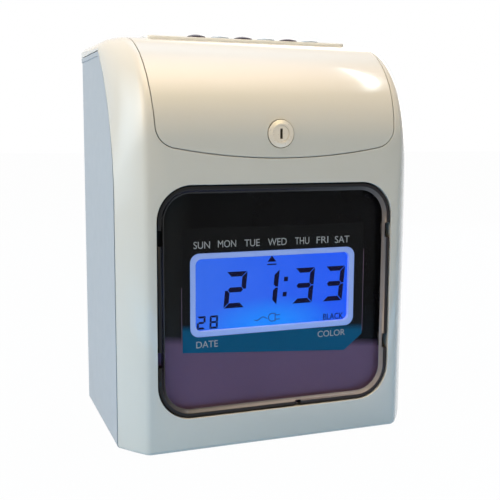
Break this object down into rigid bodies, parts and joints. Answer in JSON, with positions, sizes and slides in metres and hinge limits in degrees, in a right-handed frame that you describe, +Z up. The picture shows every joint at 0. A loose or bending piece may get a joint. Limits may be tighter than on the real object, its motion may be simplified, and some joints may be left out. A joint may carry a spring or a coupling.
{
  "type": "time clock",
  "caption": "Upright time recorder with a curved hinged lid and lock, a smoky window over a blue digital display, top keys and a card slot.",
  "frame": {"origin": "middle of the underside of the feet, under the middle of the overall box", "axes": "+Z up, front with the window faces -Y, +X to the right seen from the front"},
  "size_m": [0.173, 0.119, 0.2254],
  "materials": {
    "case_front": "glossy off-white moulded plastic",
    "case_side": "glossy cool off-white moulded plastic",
    "lens": "smoky clear plastic",
    "panel": "dark printed plastic",
    "bezel": "pale moulded frame",
    "display": "blue lit display glass",
    "board": "solder-masked board",
    "black_plastic": "black moulded plastic",
    "white_plastic": "white moulded plastic",
    "key_dark": "dark key plastic",
    "key_white": "white key plastic",
    "lock_metal": "satin plated metal",
    "steel": "plain steel",
    "sheet_metal": "zinc-plated sheet",
    "head_metal": "cast metal",
    "rubber": "black rubber",
    "brass": "turned brass",
    "ribbon_cloth": "inked ribbon",
    "core_iron": "laminated core with windings",
    "battery": "shrink-wrapped cells"
  },
  "bodies": {
    "case": {"rear_housing": "case_side", "front_housing": "case_front", "window_lens": "lens", "display_panel": "panel", "lcd_bezel": "bezel", "lcd_glass": "display", "lcd_backlight": "white_plastic", "display_board": "board", "buzzer": "black_plastic", "lid_hinge_pins": "steel", "lock_strike": "steel", "key_deck": "case_front", "key_board": "board", "key_switches": "black_plastic", "chassis_base": "sheet_metal", "chassis_side_left": "sheet_metal", "chassis_side_right": "sheet_metal", "chassis_top": "sheet_metal", "front_guide_upper": "sheet_metal", "front_guide_lower": "sheet_metal", "rear_guide": "sheet_metal", "card_stop": "black_plastic", "platen": "rubber", "card_sensor": "black_plastic", "guide_rods": "steel", "carriage_belt": "rubber", "idler_axle": "steel", "carriage_motor": "steel", "ribbon_cassette": "black_plastic", "ribbon": "ribbon_cloth", "feed_motor": "steel", "main_board": "board", "transformer": "core_iron", "battery_pack": "battery", "power_inlet": "black_plastic", "rubber_feet": "rubber", "inner_screws": "steel", "case_screws": "steel"},
    "lid": {"lid": "case_front", "lock_body": "lock_metal", "lock_nut": "steel"},
    "lock": {"lock_plug": "lock_metal", "lock_cam": "steel"},
    "key_1": {"key_1": "key_dark"},
    "key_2": {"key_2": "key_white"},
    "key_3": {"key_3": "key_dark"},
    "key_4": {"key_4": "key_white"},
    "key_5": {"key_5": "key_dark"},
    "key_6": {"key_6": "key_white"},
    "carriage": {"print_carriage": "black_plastic", "print_head": "head_metal"},
    "drive_pulley": {"drive_pulley": "brass"},
    "idler_pulley": {"idler_pulley": "brass"},
    "feed_drive": {"feed_gear": "white_plastic", "feed_shaft": "steel", "feed_rollers": "rubber"},
    "feed_pinion": {"feed_pinion": "brass"},
    "pinch": {"pinch_shaft": "steel", "pinch_rollers": "white_plastic"},
    "ribbon_knob": {"ribbon_knob": "white_plastic"}
  },
  "joints": [
    {"name": "lid_hinge", "type": "hinge", "parent": "case", "child": "lid", "pos_m": [0, 0.052, 0.2181], "axis": [-1, 0, 0], "range_deg": [0, 80]},
    {"name": "lock_turn", "type": "hinge", "parent": "lid", "child": "lock", "pos_m": [0, -0.0585, 0.1702], "axis": [0, 1, 0], "range_deg": [0, 90]},
    {"name": "key_1_press", "type": "slide", "parent": "case", "child": "key_1", "axis": [0, 0, -1], "range_m": [0, 0.0016], "stiffness_N_per_m": 400, "springref_m": -0.001},
    {"name": "key_2_press", "type": "slide", "parent": "case", "child": "key_2", "axis": [0, 0, -1], "range_m": [0, 0.0016], "stiffness_N_per_m": 400, "springref_m": -0.001},
    {"name": "key_3_press", "type": "slide", "parent": "case", "child": "key_3", "axis": [0, 0, -1], "range_m": [0, 0.0016], "stiffness_N_per_m": 400, "springref_m": -0.001},
    {"name": "key_4_press", "type": "slide", "parent": "case", "child": "key_4", "axis": [0, 0, -1], "range_m": [0, 0.0016], "stiffness_N_per_m": 400, "springref_m": -0.001},
    {"name": "key_5_press", "type": "slide", "parent": "case", "child": "key_5", "axis": [0, 0, -1], "range_m": [0, 0.0016], "stiffness_N_per_m": 400, "springref_m": -0.001},
    {"name": "key_6_press", "type": "slide", "parent": "case", "child": "key_6", "axis": [0, 0, -1], "range_m": [0, 0.0016], "stiffness_N_per_m": 400, "springref_m": -0.001},
    {"name": "carriage_slide", "type": "slide", "parent": "case", "child": "carriage", "axis": [1, 0, 0], "range_m": [-0.03, 0.03]},
    {"name": "drive_pulley_turn", "type": "hinge", "parent": "case", "child": "drive_pulley", "pos_m": [0.042, -0.0125, 0.1085], "axis": [0, 0, 1], "range_deg": [-270, 270]},
    {"name": "idler_pulley_turn", "type": "hinge", "parent": "case", "child": "idler_pulley", "pos_m": [-0.042, -0.0125, 0.1085], "axis": [0, 0, 1], "range_deg": [-270, 270]},
    {"name": "feed_turn", "type": "hinge", "parent": "case", "child": "feed_drive", "pos_m": [0, 0.025, 0.0765], "axis": [1, 0, 0], "continuous": true},
    {"name": "pinion_turn", "type": "hinge", "parent": "case", "child": "feed_pinion", "pos_m": [-0.062, 0.00837, 0.0669], "axis": [1, 0, 0], "continuous": true},
    {"name": "pinch_turn", "type": "hinge", "parent": "case", "child": "pinch", "pos_m": [0, 0.0378, 0.0765], "axis": [1, 0, 0], "continuous": true},
    {"name": "ribbon_knob_turn", "type": "hinge", "parent": "case", "child": "ribbon_knob", "pos_m": [0.04, -0.0225, 0.132], "axis": [0, 0, 1], "continuous": true}
  ],
  "couplings": [
    {"joint": "drive_pulley_turn", "follows": "carriage_slide", "rad_per_m": -144.93},
    {"joint": "idler_pulley_turn", "follows": "carriage_slide", "rad_per_m": -144.93},
    {"joint": "pinion_turn", "follows": "feed_turn", "ratio": -3},
    {"joint": "pinch_turn", "follows": "feed_turn", "ratio": -1.0333}
  ]
}
